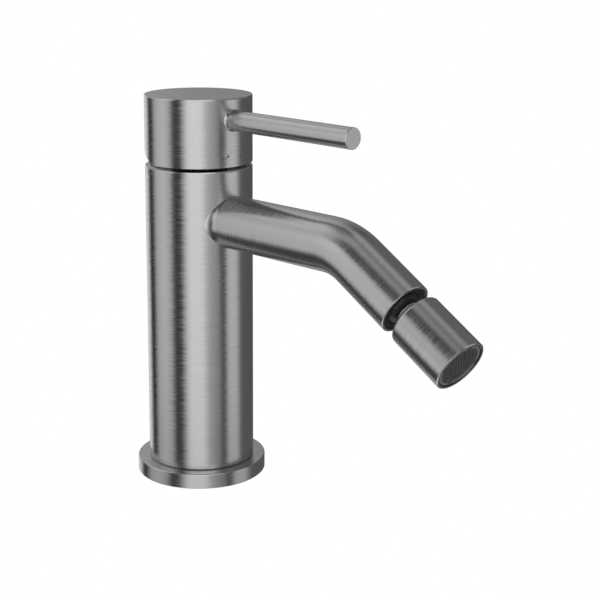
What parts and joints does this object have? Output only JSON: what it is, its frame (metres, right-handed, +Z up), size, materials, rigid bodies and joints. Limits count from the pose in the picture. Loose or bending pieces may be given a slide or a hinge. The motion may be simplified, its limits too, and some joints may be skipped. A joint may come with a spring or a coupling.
{
  "type": "bidet mixer",
  "caption": "Deck-mounted single-lever bidet mixer: round column, level rod lever, bent spout and a ball-jointed outlet with an aerator.",
  "frame": {"origin": "on the deck, at the centre of the flange's underside", "axes": "+Z up along the column, the spout and the lever point to -Y, and +X is the user's right, the cold side"},
  "size_m": [0.055, 0.1764, 0.1635],
  "materials": {
    "brushed_gunmetal": "brushed gunmetal metal, satin",
    "raw_brass": "machined brass, satin",
    "chrome": "polished chrome",
    "tube_copper": "drawn copper tube, satin",
    "seal_rubber": "matt black rubber",
    "cartridge_plastic": "moulded off-white plastic",
    "guide_plastic": "moulded grey plastic",
    "ceramic": "polished white ceramic",
    "hard_steel": "plain steel",
    "slip_plastic": "white low-friction plastic",
    "dark_metal": "black satin metal",
    "aerator_plastic": "dark grey moulded plastic",
    "hot_enamel": "red enamel",
    "cold_enamel": "blue enamel"
  },
  "bodies": {
    "root": {"base_flange": "brushed_gunmetal", "base_gasket": "seal_rubber", "mixer_body": "brushed_gunmetal", "inlet_block": "raw_brass", "hot_inlet_tube": "tube_copper", "cold_inlet_tube": "tube_copper", "tube_o_rings": "seal_rubber", "seat_block": "raw_brass", "seat_block_o_ring": "seal_rubber", "spout_tube": "brushed_gunmetal", "cartridge_housing": "cartridge_plastic", "cartridge_o_ring": "seal_rubber", "cartridge_base": "guide_plastic", "inlet_port_seals": "seal_rubber", "fixed_disc": "ceramic", "cartridge_nut": "raw_brass", "cover_ring": "brushed_gunmetal", "ball_retainer": "dark_metal", "spout_o_ring": "seal_rubber"},
    "turret": {"turret": "guide_plastic", "turret_o_ring": "seal_rubber", "stem_pin": "hard_steel"},
    "disc_slider": {"disc_carrier": "guide_plastic", "moving_disc": "ceramic"},
    "handle": {"stem": "raw_brass", "handle_head": "brushed_gunmetal", "lever": "brushed_gunmetal", "grub_screw": "hard_steel", "rear_plug": "brushed_gunmetal", "hot_mark": "hot_enamel", "cold_mark": "cold_enamel"},
    "slip_ring": {"ball_slip_ring": "slip_plastic"},
    "outlet": {"swivel_ball": "dark_metal", "swivel_neck": "chrome", "nozzle_shell": "brushed_gunmetal", "aerator_seal": "seal_rubber", "aerator_housing": "aerator_plastic", "aerator_face": "aerator_plastic", "aerator_core": "aerator_plastic", "aerator_screen": "hard_steel"}
  },
  "joints": [
    {"name": "handle_turn", "type": "hinge", "parent": "root", "child": "turret", "pos_m": [0, 0, 0.141], "axis": [0, 0, 1], "range_deg": [-50, 50]},
    {"name": "handle_lift", "type": "hinge", "parent": "turret", "child": "handle", "pos_m": [0, 0, 0.141], "axis": [-1, 0, 0], "range_deg": [0, 25]},
    {"name": "disc_slide", "type": "slide", "parent": "turret", "child": "disc_slider", "axis": [0, -1, 0], "range_m": [0, 0.0052]},
    {"name": "nozzle_swivel", "type": "hinge", "parent": "root", "child": "slip_ring", "pos_m": [0, -0.11205, 0.09678], "axis": [0, -0.8616, -0.5075], "continuous": true},
    {"name": "nozzle_tilt", "type": "hinge", "parent": "slip_ring", "child": "outlet", "pos_m": [0, -0.11205, 0.09678], "axis": [-1, 0, 0], "range_deg": [-20, 20]}
  ],
  "couplings": [
    {"joint": "disc_slide", "follows": "handle_lift", "m_per_rad": 0.011905}
  ]
}
